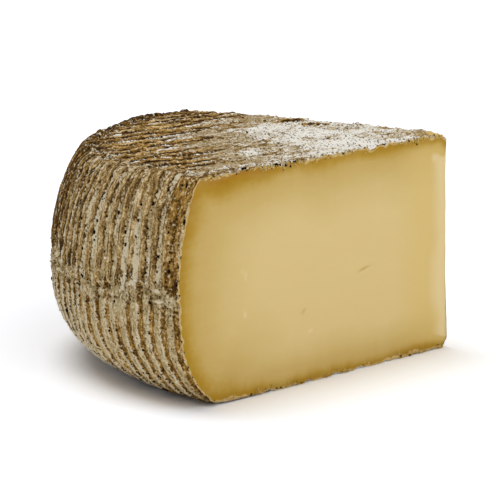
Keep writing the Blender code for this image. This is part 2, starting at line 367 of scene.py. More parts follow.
def side_marks(share, z):
    """The rim: relief and marks of the upright ridges in two courses, and of the fold between them."""
    arc = share * QUARTER * RADIUS
    here = (arc, z)
    turns = SIDE_RIDGES * (share + SIDE_PITCH_GROWTH / 2 * share * (1 - share))
    turns += SIDE_SWAY * waves(arc, 11, 0.03, 0.08)
    fray = 0.05 * noise(here, (0.004, 0.009), 51) + 0.02 * noise(here, (0.0016, 0.004), 55)
    upper_turns = turns + SIDE_LEAN * waves(z, 13, 0.02, 0.05) + fray
    lower_turns = turns + SCAR_SHIFT + SIDE_LEAN * waves(z, 14, 0.02, 0.05) + fray
    scar = SCAR_HEIGHT + SCAR_SWAY * waves(arc, 12, 0.02, 0.09)
    rise = z - scar
    above = smooth(-SCAR_SPREAD / 2, SCAR_SPREAD / 2, rise)
    near_scar = bell(rise, SCAR_SPREAD)
    wide_scar = bell(rise + 0.0035, 0.005)
    dim = smooth(*TURNING, share)
    upper_ridges, lower_ridges = ridge(upper_turns, SIDE_GROOVE), ridge(lower_turns, SIDE_GROOVE)
    ridged = above * upper_ridges + LOWER_GROOVE * (1 - above) * lower_ridges
    lumpy = smooth(0.079, 0.086, z) * smooth(0.6, 0.3, share)
    ridged = ridged * (1 - SCAR_SMOOTHING * near_scar) * (1 - 0.6 * lumpy)
    fold = SCAR_LIP * near_scar * np.minimum(waves(arc, 15, 0.006, 0.02), 0)
    slow = waves(arc, 41, 0.05, 0.16) * waves(z, 42, 0.04, 0.12)
    relief = ridged + fold - UNEVEN * np.clip(0.5 + slow, 0, 1)

    # Brown crests above the fold and brown hollows below it, all in ragged upright streaks
    up, low = off_crest(upper_turns), off_crest(lower_turns)
    step = scar + 0.0016 * np.cos(tau * upper_turns) + 0.0012 * noise(here, 0.0028, 48)
    over = smooth(-0.0008, 0.0008, z - step)
    streaks = noise(here, (0.001, 0.006), 56) + 0.8 * noise(here, (0.0007, 0.0028), 57)
    ragged = 0.032 * streaks + 0.06 * noise(here, (0.004, 0.014), 66)
    by_cut = smooth(0.036, 0.026, share + 0.008 * noise((z,), 0.006, 49))
    crest = np.maximum(1 - smooth(0.25, 0.31, np.abs(up) + ragged), by_cut)
    hollow = 1 - smooth(0.18, 0.27, 0.5 - np.abs(low) + ragged)
    worn = smooth(-0.6, 0.2, noise((turns, z), (1.6, 0.022), 50))
    band = over * crest * (0.7 + 0.3 * worn) + (1 - over) * hollow * (0.35 + 0.65 * worn)
    lump = rough(here, (0.005, 0.0036), 75, 2)
    band = band * (1 - lumpy) + lumpy * smooth(-0.7, 0.1, lump)

    # A thin pale lip beside each crest
    lip_below = 1.5 * bell(low + 0.28, 0.065) * smooth(-1.0, -0.2, noise((turns, z), (1.0, 0.02), 52))
    lip_above = bell(up - 0.34, 0.055) * smooth(-0.5, 0.2, noise((turns, z), (1.0, 0.012), 59))
    lip = (1 - over) * lip_below + over * (0.6 + 0.4 * dim) * lip_above
    lip = lip * (1 - 0.85 * np.maximum(near_scar, wide_scar)) * (1 - by_cut)
    relief += LIP_HEIGHT * lip + 0.00006 * streaks + LUMP_HEIGHT * lumpy * lump

    crowd = 0.24 + 0.4 * smooth(0.4, 0.15, share) * bell(z - 0.056, 0.014) + 0.3 * dim
    crowd += 0.45 * noise(here, (0.01, 0.014), 53) - 0.12 * (1 - above) - 0.3 * by_cut
    holes = rim_pits(arc, z, np.where(above > 0.5, upper_turns, lower_turns), crowd, near_scar)
    crease, flakes, cleft = fold_marks(arc, z, rise)
    flakes = flakes * wide_scar
    relief = relief - RIM_PIT_DEPTH * np.sqrt(holes) + CREASE_HEIGHT * wide_scar * crease
    relief += FLAKE_HEIGHT * np.sqrt(flakes) - CLEFT_DEPTH * cleft
    # Where the crests end above the fold: painted shade goes there
    crest_end_shade = over * bell(z - step - 0.0032, 0.003) * smooth(-0.3, 0.5, noise((turns,), 1.0, 72))

    # Grey-brown mould where the rind isn't brown, paler on the lips, the flakes and between the crests
    shoulder = smooth(0.066, 0.08, z) * above
    mould = 1.1 - 1.25 * band + 0.1 * streaks + 0.16 * noise(here, (0.008, 0.013), 64)
    mould += 0.45 * wide_scar * (1 - crest_end_shade)
    mould = mould * (1 - 0.6 * shoulder) - (0.06 + 0.16 * above) * dim
    between_crests = over * (1 - crest) * smooth(-0.6, 0.2, noise(here, (0.006, 0.014), 69))
    faint = (1 - 0.25 * dim) * (1 - 0.35 * shoulder)
    pale = 0.65 * lip + 0.4 * wide_scar * smooth(-0.2, 0.5, crease) + 0.6 * smooth(0.2, 0.7, flakes)
    pale += 0.35 * lumpy * smooth(0.3, 0.8, noise(here, (0.003, 0.0026), 76))
    pale += 0.64 * between_crests * faint * (1 + 0.4 * streaks) + 0.1 * (1 - over) * (1 - hollow)

    # Painted highlight along the crests' middles, and painted shade beside them, in the hollows' middles, in
    # the creases and where the crests end
    tone = 0.5 + 0.13 * streaks + 0.08 * noise(here, (0.003, 0.008), 65)
    tone -= over * (0.38 * bell(up + 0.28, 0.055) + 0.2 * bell(up - 0.27, 0.05)) * (1 - by_cut)
    tone += 0.16 * over * bell(up - 0.06, 0.1) - 0.05 * (1 - over) * bell(0.5 - np.abs(low), 0.08)
    tone = tone - 0.45 * wide_scar * smooth(0.1, 0.8, -crease) - 0.4 * crest_end_shade * crest
    tone = tone - 0.28 * dim - 0.14 * by_cut
    warm = 0.35 + 0.65 * np.maximum(by_cut * above, dim) + 0.65 * (1 - over)
    # Dark pits, and painted shade in the fold's clefts, deeper where the rim turns from the light
    dark = np.maximum(smooth(0.0, 0.35, holes), (0.5 + 0.4 * dim) * smooth(0.3, 0.9, cleft))
    pits = 0.3 + 0.25 * (1 - over)
    return relief, {"mould": mould, "pale": pale, "tone": tone, "warm": warm, "dark": dark, "pits": pits}


def mat_axes(x, y):
    """Lengths along and across the mat's ridges."""
    return x * cos(MAT_DIRECTION) + y * sin(MAT_DIRECTION), -x * sin(MAT_DIRECTION) + y * cos(MAT_DIRECTION)


def add_crags(x, y, seed, relief, marks):
    """Brown crags that stand out of the top's mould, each with painted shade along its foot."""
    for crag_x, crag_y, size in CRAGS:
        lengthwise, crosswise = mat_axes(x - crag_x, y - crag_y)
        rise = bell(lengthwise, 1.6 * size) * (1 + 0.5 * noise((x, y), 0.002, seed))
        crag = rise * bell(crosswise, 0.55 * size)
        # Where shade is painted along each crag's foot
        foot = rise * bell(crosswise + 0.45 * size, 0.3 * size)
        relief += CRAG_HEIGHT * smooth(0.1, 0.8, crag)
        cover = smooth(0.15, 0.5, crag)
        marks["mould"] -= 1.2 * cover
        marks["pale"] = marks["pale"] * (1 - cover)
        marks["warm"] += 0.6 * cover
        marks["tone"] += 0.1 * cover - 0.65 * smooth(0.3, 0.8, foot)
    return relief


def mat_marks(x, y, r, on_top):
    """The top or underside: straight ridges that fade out inward, and the wrinkled mould-white middle."""
    depth, seed = (TOP_GROOVE, 21) if on_top else (UNDER_GROOVE, 131)
    along, across = lying = mat_axes(x, y)
    turns = across / MAT_PITCH + MAT_SWAY * waves(along, seed, 0.05, 0.15)
    sway = MAT_EDGE_SWAY * waves(across, seed + 1, 0.02, 0.06)
    shown = smooth(MAT_INNER, MAT_FULL, r / RADIUS + sway)
    turns += 0.06 * noise(lying, (0.006, 0.004), seed + 2)
    relief = ridge(turns, depth) * shown
    if on_top:
        outward = -x + 0.1 * y + 0.007 * noise(lying, (0.02, 0.006), seed + 17)
        outward -= 0.02 * smooth(0.026, 0.004, (y - x) / sqrt(2))
        shown = shown * (0.12 + 0.88 * smooth(0.082, 0.108, outward))
        relief = relief * (0.45 + 0.55 * smooth(0.076, 0.104, outward))

    # Brown ragged bands along the crests, with painted shade along their lower edges
    off = off_crest(turns)
    streaks = noise(lying, (0.006, 0.0012), seed + 5) + 0.8 * noise(lying, (0.0028, 0.0008), seed + 9)
    ragged = 0.04 * streaks + 0.1 * noise(lying, (0.014, 0.006), seed + 11)
    reach = 0.12 + 0.11 * smooth(0.05, 0.9, shown)
    broken = smooth(-0.9, -0.2, noise(lying, (0.024, 0.007), seed + 3))
    band = 1 - smooth(reach - 0.04, reach + 0.04, np.abs(off + 0.06) + ragged)
    band = band * smooth(0.02, 0.3, shown) * (0.25 + 0.75 * broken)
    shaded_lower_edge = bell(off + 0.05 + reach, 0.06) * smooth(0.1, 0.5, shown)

    # Wrinkles, clumps, pits and crumbs
    wrinkle = rough(lying, (0.006, 0.0022), seed + 4)
    clump = noise(lying, (0.004, 0.0013), seed + 10) * shown
    clump += noise(lying, (0.0024, 0.0018), seed + 22) * (1 - shown)
    holes = dots(x, y, (0.004, 0.006), seed + 8, 0.4, (0.0003, 0.0009), 1.0, 1.5)
    crumbs = dots(x, y, (0.0048, 0.0046), seed + 12, 0.35, (0.0005, 0.0015), 1.0, 0.8)
    relief += WRINKLE_HEIGHT * wrinkle * (1 - 0.5 * shown) + CLUMP_HEIGHT * clump * (0.7 + 0.5 * band)
    relief = relief - TOP_PIT_DEPTH * np.sqrt(holes) + TOP_CRUMB_HEIGHT * crumbs

    # White mould round the middle, frost between the bands, and tan flecks through both
    inner = r / RADIUS + 0.07 * noise((x, y), 0.022, seed + 6) + 0.05 * noise((x, y), 0.006, seed + 13)
    white = smooth(0.1, 0.2, inner) * (1 - smooth(0.44, 0.58, inner))
    by_tip = smooth(0.26, 0.12, inner)
    tan = rough(lying, (0.009, 0.0035), seed + 7)
    mottled = noise((x, y), (0.006, 0.01), seed + 14) + 0.5 * noise(lying, (0.003, 0.0012), seed + 20)
    frosted = noise(lying, (0.012, 0.005), seed + 15) + 0.9 * noise(lying, (0.0026, 0.0013), seed + 23)
    frost = (1 - band) * (1 - shaded_lower_edge) * smooth(-0.4, 0.5, frosted) * (0.46 + 0.36 * shown) * (1 - white)
    flecks = smooth(0.25, 0.7, noise(lying, (0.005, 0.0022), seed + 21)) * (1 - 0.8 * white)
    mould = 1.0 - 1.1 * band + 0.14 * streaks - 0.45 * smooth(0.1, 0.7, tan) * (1 - white)
    mould -= 0.45 * (1 - smooth(0.08, 0.2, inner)) * smooth(-0.3, 0.4, tan)
    mould = mould - 1.3 * crumbs * (1 - 0.6 * white) - 0.9 * flecks - 0.6 * shaded_lower_edge
    # Paler on the clumps' tops and less pale in their dips: painted highlight and shade
    pale = 0.74 * white * (1 + 0.45 * mottled) + frost + 0.18 * clump - 0.6 * flecks
    pale += 0.2 * by_tip * smooth(-0.4, 0.5, mottled)
    tone = 0.46 + 0.13 * streaks + 0.1 * noise(lying, (0.005, 0.002), seed + 16) + 0.12 * by_tip
    # Painted shade on the bands' lower edges and a painted highlight along their crests
    tone = tone - 0.8 * shaded_lower_edge + 0.24 * bell(off + 0.03, 0.1) * shown
    marks = {
        "mould": mould,
        "pale": pale,
        "tone": tone,
        "warm": 0.3 + 0.6 * shown,
        "dark": smooth(0.0, 0.5, holes) * (0.6 + 0.4 * white),
        "pits": 0.42 + 0.16 * white,
    }
    if on_top:
        relief = add_crags(x, y, seed + 18, relief, marks)
    return relief, marks


def rind_points(r, share, z, n_r, n_z):
    """Points of the rind and its marks, from places on the plain form and its normals there."""
    p, q = r * np.cos(share * QUARTER), r * np.sin(share * QUARTER)
    x, y = -(p + q) * cos(QUARTER / 2), (q - p) * sin(QUARTER / 2)
    where = (x, y, z)
    upper = z > HEIGHT / 2
    flat = np.where(upper, 1 - smooth(*KNUCKLES, r / RADIUS), smooth(*FACING_DOWN, -n_z))
    flat = np.where(r < 0.5 * RADIUS, 1, flat)
    side, side_layers = side_marks(share, z)
    top, top_layers = mat_marks(x, y, r, True)
    under, under_layers = mat_marks(x, y, r, False)
    relief = (1 - flat) * side + flat * np.where(upper, top, under)
    layers = {"level": flat}
    for key in side_layers:
        lying = np.where(upper, top_layers[key], under_layers[key])
        layers[key] = (1 - flat) * side_layers[key] + flat * lying

    # Knobs where the rim's ridges end on the top
    knuckle = bell(r / RADIUS - KNOB_RING - 0.03 * share, 0.022) * upper
    knobs = dots(x, y, (0.0048, 0.0048), 71, 0.75, (0.0012, 0.0025))
    relief += KNOB_HEIGHT * knuckle * (np.sqrt(knobs) - 0.5)
    layers["pale"] += 0.6 * knuckle * smooth(0.6, 0.95, knobs)
    layers["mould"] -= 0.35 * knuckle
    layers["tone"] -= 0.1 * knuckle

    # Darker where it nears the floor: painted shade
    low = (0.5 * smooth(0.01, 0.001, z) + 0.5 * smooth(0.004, 0.0005, z)) * (z < HEIGHT / 2)
    low = low * (0.3 + 0.7 * smooth(0.05, 0.2, share))
    layers["tone"] -= 0.7 * low
    layers["mould"] -= 0.6 * low

    # The shoulder stands fuller near the near cut and towards the far cut, and so does the top's outer part
    turned = 2 * np.clip(n_r * n_z, 0, 1) * upper
    relief = relief * (1 - 0.5 * turned * smooth(0.55, 0.75, share))
    relief += turned * sum(height * bell(share - at, width) for at, width, height in SHOULDER_BULGES)
    level_top = np.clip(n_z, 0, 1) * upper
    relief += 0.001 * level_top * smooth(0.095, 0.14, r) * bell(share, 0.25)
    relief += 0.0006 * level_top * bell(share - 1, 0.3) * bell(r - 0.116, 0.022)

    # Grain all over
    calm = 1 - 0.45 * smooth(0.45, 0.8, share) * (1 - flat)
    relief += GRAIN_HEIGHT * calm * rough(where, 0.0021, 81) + 0.00012 * noise(where, 0.005, 84)

    # The edges along the cuts are chipped, and paler with mould
    inset = np.minimum(p, q)
    edge_line = bell(inset - 0.0001, 0.0006) * (z < 0.08) * smooth(-0.8, 0.0, noise((z,), 0.01, 93))
    layers["mould"] += 0.9 * edge_line
    layers["pale"] += 0.55 * edge_line
    along_cut = r + 2 * z + 0.3 * (q > p)
    chip = 0.00015 + (0.0002 + 0.0005 * flat) * smooth(0.15, 0.7, noise((along_cut, 0 * z), 0.0045, 91))
    relief -= chip * fade(inset, 0.0022)

    relief = np.where(r < 2 * TIP_RADIUS, 0.3 * relief, relief)
    underside = smooth(0.3, 0.95, -n_z) * (z < HEIGHT / 2)
    relief = np.where(underside > 0, np.minimum(relief, 0.0002 * (1 - underside)), relief)
    r, z = r + n_r * relief, z + n_z * relief
    p, q = r * np.cos(share * QUARTER), r * np.sin(share * QUARTER)
    layers["bare"] = 1 - smooth(0.0055, 0.013, r + 0.003 * noise(where, 0.003, 95))
    return p, q, np.maximum(z, 0), layers


def disc_points(cells, height, towards):
    """The top or the underside: a net of points inside the rim, with its marks."""
    out_p, out_q = quarter_net(cells)
    share = np.arctan2(out_q, out_p) / QUARTER
    share[0, 0] = 0.5
    reach = between(SHOULDER_IN if towards > 0 else FOOT_IN, share)
    r = np.hypot(out_p, out_q) * (RADIUS - reach)
    z = crowned(r, height + 0 * r)
    plain_z = z
    p, q, z, layers = rind_points(r, share, z, 0 * r, towards + 0 * r)
    p, q = blunt(p, q)
    if towards > 0:
        fall = tip_fall(np.hypot(p, q))
        z, plain_z = z - fall, plain_z - fall
    else:
        out = np.clip(np.hypot(p, q), 1e-9, None)
        worn = tip_wave(0 * z) * fade(out - TIP_RADIUS, EDGE_FADE)
        p, q = p + worn * p / out, q + worn * q / out
    return p, q, z, layers, r, plain_z


# Meshes

def net_faces(rows, columns, flip=False):
    """The four-cornered faces of a net of points."""
    index = np.arange(rows * columns).reshape(rows, columns)
    corners = [index[:-1, :-1], index[1:, :-1], index[1:, 1:], index[:-1, 1:]]
    if flip:
        corners.reverse()
    return np.stack(corners, axis=-1).reshape(-1, 4)


def make_piece(name, points, faces, layers, material):
    """One visible piece of the cheese, from points, faces and named values at the points."""
    points = points.reshape(-1, 3)
    mesh = bpy.data.meshes.new(name)
    mesh.vertices.add(len(points))
    mesh.vertices.foreach_set("co", np.ascontiguousarray(points, dtype=np.float32).ravel())
    mesh.loops.add(faces.size)
    mesh.loops.foreach_set("vertex_index", np.ascontiguousarray(faces, dtype=np.int32).ravel())
    mesh.polygons.add(len(faces))
    mesh.polygons.foreach_set("loop_start", np.arange(0, faces.size, faces.shape[1], dtype=np.int32))
    mesh.update(calc_edges=True)
    mesh.validate()
    for key, values in layers.items():
        layer = mesh.attributes.new(key, "FLOAT", "POINT")
        layer.data.foreach_set("value", np.ascontiguousarray(values, dtype=np.float32).ravel())
    mesh.materials.append(material)
    mesh.shade_smooth()
    piece = bpy.data.objects.new(name, mesh)
    bpy.context.scene.collection.objects.link(piece)
    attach(piece, "root")
    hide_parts(NODE)


# Materials

# Colour ramps of the bare rind, of its mould and of the paste: (place, red, green, blue) from dark to light
BROWNS = (
    (0.0, 66, 47, 20), (0.3, 116, 90, 50), (0.55, 158, 131, 84), (0.8, 194, 169, 124),
    (1.0, 232, 214, 178),
)
GOLDS = (
    (0.0, 60, 38, 8), (0.3, 108, 77, 30), (0.55, 156, 119, 56), (0.8, 194, 158, 96),
    (1.0, 232, 206, 160),
)
DUSTS = (
    (0.2, 106, 84, 46), (0.4, 160, 138, 94), (0.6, 193, 173, 131), (0.8, 222, 209, 176),
)
FROSTS = (
    (0.2, 108, 82, 44), (0.4, 156, 134, 94), (0.6, 190, 172, 138), (0.8, 226, 217, 196),
)
PASTES = (
    (0.0, 160, 110, 0), (0.05, 164, 116, 6), (0.08, 168, 125, 22), (0.13, 172, 134, 38),
    (0.16, 180, 143, 52), (0.2, 188, 154, 72), (0.26, 196, 164, 91), (0.34, 201, 170, 101),
    (0.44, 203, 175, 106), (0.6, 210, 183, 118), (0.95, 218, 192, 131),
)


def srgb(red, green, blue):
    """A colour for a node, from its usual 0 to 255 values."""
    def linear(value):
        value = value / 255
        return value / 12.92 if value <= 0.04045 else ((value + 0.055) / 1.055) ** 2.4
    return (linear(red), linear(green), linear(blue), 1.0)


class Nodes:
    """Short calls for building one material's nodes."""

    def __init__(self, name):
        self.material = bpy.data.materials.new(name)
        self.material.use_nodes = True
        self.tree = self.material.node_tree
        self.shader = self.tree.nodes["Principled BSDF"]
        self.coords = self.new("TexCoord").outputs["Object"]

    def feed(self, socket, value):
        """Links a node's output to the socket, or sets a plain value on it."""
        if isinstance(value, bpy.types.NodeSocket):
            self.tree.links.new(value, socket)
        else:
            socket.default_value = value

    def new(self, kind):
        """A new node."""
        return self.tree.nodes.new("ShaderNode" + kind)

    def layer(self, name):
        """The named values that the mesh carries."""
        node = self.new("Attribute")
        node.attribute_name = name
        return node.outputs["Fac"]

    def noise(self, size, detail=3.0, roughness=0.6, stretch=None, shift=0.0, turn=0.0):
        """Noise from 0 to 1 with bumps about size metres wide, read shift metres away.

        A stretch below 1 draws it out along that axis, after a turn about the upright axis.
        """
        node = self.new("TexNoise")
        node.inputs["Scale"].default_value = 0.6 / size
        node.inputs["Detail"].default_value = detail
        node.inputs["Roughness"].default_value = roughness
        place_at = self.coords
        if stretch or shift:
            mapping = self.new("Mapping")
            mapping.vector_type = "TEXTURE"
            mapping.inputs["Scale"].default_value = [1 / share for share in stretch or (1, 1, 1)]
            mapping.inputs["Rotation"].default_value = (0, 0, turn)
            mapping.inputs["Location"].default_value = (shift, shift, shift)
            self.feed(mapping.inputs["Vector"], self.coords)
            place_at = mapping.outputs["Vector"]
        self.feed(node.inputs["Vector"], place_at)
        return node.outputs["Fac"]

    def spots(self, cell, share, density):
        """Sharp spots in random places: 1 inside a spot; share is their radius over the cell's size."""
        node = self.new("TexVoronoi")
        node.inputs["Scale"].default_value = 1 / cell
        self.feed(node.inputs["Vector"], self.coords)
        chance = self.math("LESS_THAN", node.outputs["Color"], density)
        inside = self.step(node.outputs["Distance"], share, share * 1.5)
        return self.math("MULTIPLY", self.math("SUBTRACT", 1.0, inside), chance)

    def math(self, operation, first, second=0.0, third=0.0):
        node = self.new("Math")
        node.operation = operation
        for socket, value in zip(node.inputs, (first, second, third)):
            self.feed(socket, value)
        return node.outputs["Value"]

    def add(self, first, second, weight=1.0):
        """first + weight * second."""
        return self.math("MULTIPLY_ADD", second, weight, first)

    def nudge(self, value, noise, weight, middle=0.5):
        """The value moved up and down by the noise, which lies around its middle."""
        return self.add(value, self.math("SUBTRACT", noise, middle), weight)

    def step(self, value, low, high):
        """0 below low and 1 above high, with a smooth step between them."""
        node = self.new("MapRange")
        node.interpolation_type = "SMOOTHSTEP"
        self.feed(node.inputs["Value"], value)
        node.inputs["From Min"].default_value = low
        node.inputs["From Max"].default_value = high
        return node.outputs["Result"]

    def ramp(self, value, stops):
        """A colour from stops of (place, red, green, blue)."""
        node = self.new("ValToRGB")
        points = node.color_ramp.elements
        while len(points) < len(stops):
            points.new(0.5)
        for point, (at, *colour) in zip(points, stops):
            point.position = at
            point.color = srgb(*colour)
        self.feed(node.inputs["Fac"], value)
        return node.outputs["Color"]

    def mix(self, share, first, second):
        node = self.new("Mix")
        node.data_type = "RGBA"
        self.feed(node.inputs["Factor"], share)
        colours = [socket for socket in node.inputs if socket.type == "RGBA"]
        self.feed(colours[0], first)
        self.feed(colours[1], second)
        return [socket for socket in node.outputs if socket.type == "RGBA"][0]

    def tint(self, colour, share, weight, *new):
        """The colour with a new one over it, from its 0 to 255 values, as strong as share times weight."""
        return self.mix(self.math("MULTIPLY", share, weight), colour, srgb(*new))

    def bump(self, height, distance, strength=1.0):
        node = self.new("Bump")
        node.inputs["Strength"].default_value = strength
        node.inputs["Distance"].default_value = distance
        self.feed(node.inputs["Height"], height)
        self.feed(self.shader.inputs["Normal"], node.outputs["Normal"])


def rind_material():
    """Brown crests, grey-white mould in the hollows, dark pits, and bare paste at the worn tip."""
    nodes = Nodes("rind")
    level = nodes.layer("level")

    def streaked(size, shift):
        """Noise drawn out along the ridges, which stand upright on the rim and lie along the top."""
        upright = nodes.noise(size, 3, 0.65, (1, 1, 0.35), shift)
        lying = nodes.noise(size, 3, 0.65, (0.4, 1, 1), shift, MAT_DIRECTION)
        return nodes.add(upright, nodes.math("SUBTRACT", lying, upright), level)

    patches = nodes.noise(0.005, 3, 0.6)
    fine = streaked(0.0011, 0.3)
    grain = streaked(0.0009, 0.7)
    specks = nodes.noise(0.0006, 2, 0.6)
    # The tone layer carries the marks' painted highlights and shade along with the rind's own tone
    tone = nodes.nudge(nodes.layer("tone"), fine, 1.5)
    tone = nodes.nudge(tone, patches, 0.4)
    tone = nodes.nudge(tone, specks, 1.5)
    brown = nodes.ramp(tone, BROWNS)
    gold = nodes.ramp(tone, GOLDS)
    brown = nodes.mix(nodes.math("MINIMUM", nodes.layer("warm"), 1.0), brown, gold)
    dusty = nodes.nudge(grain, specks, 0.9)
    dusty = nodes.nudge(dusty, nodes.layer("tone"), 0.4, 0.45)
    dust = nodes.ramp(dusty, DUSTS)
    frosty = nodes.ramp(dusty, FROSTS)
    dust = nodes.mix(level, dust, frosty)
    cover = nodes.nudge(nodes.layer("mould"), grain, 1.1)
    cover = nodes.nudge(cover, specks, 0.7)
    colour = nodes.mix(nodes.step(cover, 0.3, 0.75), brown, dust)
    white = nodes.nudge(nodes.layer("pale"), fine, 1.3)
    white = nodes.nudge(white, specks, 1.9)
    whites = nodes.mix(level, srgb(212, 199, 169), srgb(240, 236, 226))
    colour = nodes.mix(nodes.step(white, 0.28, 0.8), colour, whites)
    glint = nodes.noise(0.0008, 2, 0.5, shift=1.1)
    colour = nodes.tint(colour, nodes.step(glint, 0.62, 0.72), 0.7, 230, 212, 174)
    # The dark layer holds pits, dark grains and specks, and the painted shade of the rim's clefts
    hole = nodes.nudge(nodes.layer("dark"), specks, 0.5)
    pepper = nodes.spots(0.0017, 0.16, nodes.layer("pits"))
    hole = nodes.math("MAXIMUM", nodes.step(hole, 0.25, 0.6), pepper)
    colour = nodes.mix(hole, colour, srgb(24, 17, 9))
    colour = nodes.mix(nodes.step(nodes.layer("bare"), 0.35, 0.65), colour, srgb(210, 182, 116))
    nodes.feed(nodes.shader.inputs["Base Color"], colour)
    nodes.shader.inputs["Roughness"].default_value = 0.9
    nodes.shader.inputs["Specular IOR Level"].default_value = 0.06
    nodes.bump(nodes.add(grain, specks, 0.6), 0.0003, 0.8)
    return nodes.material


def paste_material():
    """Close pale yellow paste, amber under the rind, with a pale dry line at its very edge."""
    nodes = Nodes("paste")
    cloud = nodes.noise(0.022, 3, 0.55)
    fine = nodes.noise(0.0016, 4, 0.6)
    brushed = nodes.noise(0.006, 4, 0.6, (0.5, 0.5, 2.0))
    depth = nodes.nudge(nodes.layer("depth"), cloud, 0.005)
    depth = nodes.nudge(depth, fine, 0.0018)
    colour = nodes.ramp(nodes.add(0.075, depth, 1 / 0.027), PASTES)
    edge = nodes.nudge(nodes.layer("rim"), fine, 0.8)
    colour = nodes.tint(colour, nodes.step(edge, 0.3, 0.7), 0.7, 212, 187, 130)
    colour = nodes.tint(colour, nodes.step(brushed, 0.42, 0.72), 0.1, 222, 200, 146)
    tip = nodes.layer("tip")
    colour = nodes.tint(colour, nodes.step(tip, 0.1, 0.65), 0.55, 214, 184, 108)
    colour = nodes.tint(colour, nodes.step(tip, 0.7, 0.9), 0.9, 225, 202, 148)
    colour = nodes.tint(colour, nodes.layer("slit"), 0.7, 190, 150, 60)
    colour = nodes.tint(colour, nodes.layer("chalk"), 0.35, 240, 226, 190)
    colour = nodes.mix(nodes.step(nodes.layer("dark"), 0.3, 0.7), colour, srgb(46, 32, 12))
    nodes.feed(nodes.shader.inputs["Base Color"], colour)
    nodes.shader.inputs["Roughness"].default_value = 0.6
    nodes.shader.inputs["Specular IOR Level"].default_value = 0.12
    nodes.shader.inputs["Subsurface Weight"].default_value = 0.15
    nodes.shader.inputs["Subsurface Radius"].default_value = (0.0025, 0.0015, 0.0008)
    nodes.shader.inputs["Subsurface Scale"].default_value = 1.0
    nodes.bump(nodes.add(fine, brushed, 1.0), 0.00012, 0.5)
    return nodes.material


# Pieces

def make_rind(material):
    """The top, the rim in two halves, and the underside.

    Returns the edges of the near and the far cut, first on the plain form and then with the relief.
    """
    out_p, out_q = quarter_net(TOP_CELLS)
    down_near = np.arctan2(out_q[-1, :], out_p[-1, :])
    back_far = np.arctan2(out_q[:-1, -1], out_p[:-1, -1])[::-1]
    shares = np.concatenate((down_near, back_far)) / QUARTER
    r, z, n_r, n_z = rim_net(shares)
    p, q, shown_z, layers = rind_points(r, shares[None, :] + 0 * r, z, n_r, n_z)
    rim = place(p, q, shown_z)
    for name, rows in (
        ("rind_rim_upper", slice(0, SCAR_ROW + 1)),
        ("rind_rim_lower", slice(SCAR_ROW, None)),
    ):
        part = rim[rows]
        part_layers = {key: values[rows] for key, values in layers.items()}
        make_piece(name, part, net_faces(*part.shape[:2], flip=True), part_layers, material)
    inset = np.minimum(p, q)
    make_rind_grains("rind_grains_rim", rim, inset, layers, RIM_GRAINS, 501, material)
    plain_rim = [np.stack((r[:, k], z[:, k]), axis=1) for k in (0, -1)]
    shown_rim = [np.stack((out[:, k], shown_z[:, k]), axis=1) for out, k in ((p, 0), (q, -1))]

    edges = []
    for name, cells, height, towards in (
        ("rind_top", TOP_CELLS, HEIGHT, 1),
        ("rind_underside", UNDER_CELLS, 0.0, -1),
    ):
        p, q, z, layers, plain_r, plain_z = disc_points(cells, height, towards)
        points = place(p, q, z)
        faces = net_faces(*points.shape[:2], flip=towards < 0)
        make_piece(name, points, faces, layers, material)
        if towards > 0:
            make_rind_grains("rind_grains_top", points, q, layers, TOP_GRAINS, 511, material)
        for row, out in ((np.s_[:, 0], p), (np.s_[0, :], q)):
            past_tip = out[row] > 0.99 * TIP_RADIUS
            plain_edge = np.stack((plain_r[row], plain_z[row]), axis=1)[past_tip]
            shown_edge = np.stack((out[row], z[row]), axis=1)[past_tip]
            if towards < 0:
                worn = TIP_RADIUS + tip_wave(np.zeros(1))[0]
                plain_edge = np.concatenate(([(TIP_RADIUS, 0.0)], plain_edge))
                shown_edge = np.concatenate(([(worn, 0.0)], shown_edge[shown_edge[:, 0] > worn]))
            edges.append((plain_edge, shown_edge))
    near = [(edges[0][k], (plain_rim, shown_rim)[k][0], edges[2][k]) for k in (0, 1)]
    far = [(edges[1][k], (plain_rim, shown_rim)[k][1], edges[3][k]) for k in (0, 1)]
    return near, far


def shortest(line, points):
    """The shortest distance from each point to any of the line's points."""
    best = np.full(points.shape[:-1], 1.0)
    for place_r, place_z in line:
        best = np.minimum(best, np.hypot(points[..., 0] - place_r, points[..., 1] - place_z))
    return best


def stretched(top, rim, under, tip):
    """A net of (r, z) points between four sides: top and under run outward, rim and tip run downward."""
    across = np.linspace(0, 1, len(top))[:, None, None]
    down = np.linspace(0, 1, len(rim))[None, :, None]
    between_levels = top[:, None] * (1 - down) + under[:, None] * down
    between_ends = tip[None] * (1 - across) + rim[None] * across
    corners = (
        (1 - across) * (1 - down) * top[0]
        + across * (1 - down) * top[-1]
        + (1 - across) * down * under[0]
        + across * down * under[-1]
    )
    return between_levels + between_ends - corners


def spread_evenly(line, count):
    """The same line with this many points, evenly spaced."""
    run = np.concatenate(([0], np.cumsum(np.hypot(*np.diff(line, axis=0).T))))
    even = np.linspace(0, run[-1], count)
    return np.stack((np.interp(even, run, line[:, 0]), np.interp(even, run, line[:, 1])), axis=1)


def cut_spots(r, z, places):
    """Long soft spots on a cut: 1 in their middles."""
    total = 0 * r
    for spot_r, spot_z, length, width, tilt in places:
        along = (r - spot_r) * cos(tilt) - (z - spot_z) * sin(tilt)
        across = (r - spot_r) * sin(tilt) + (z - spot_z) * cos(tilt)
        total = total + bell(along, length / 2) * bell(across, width / 2)
    return total


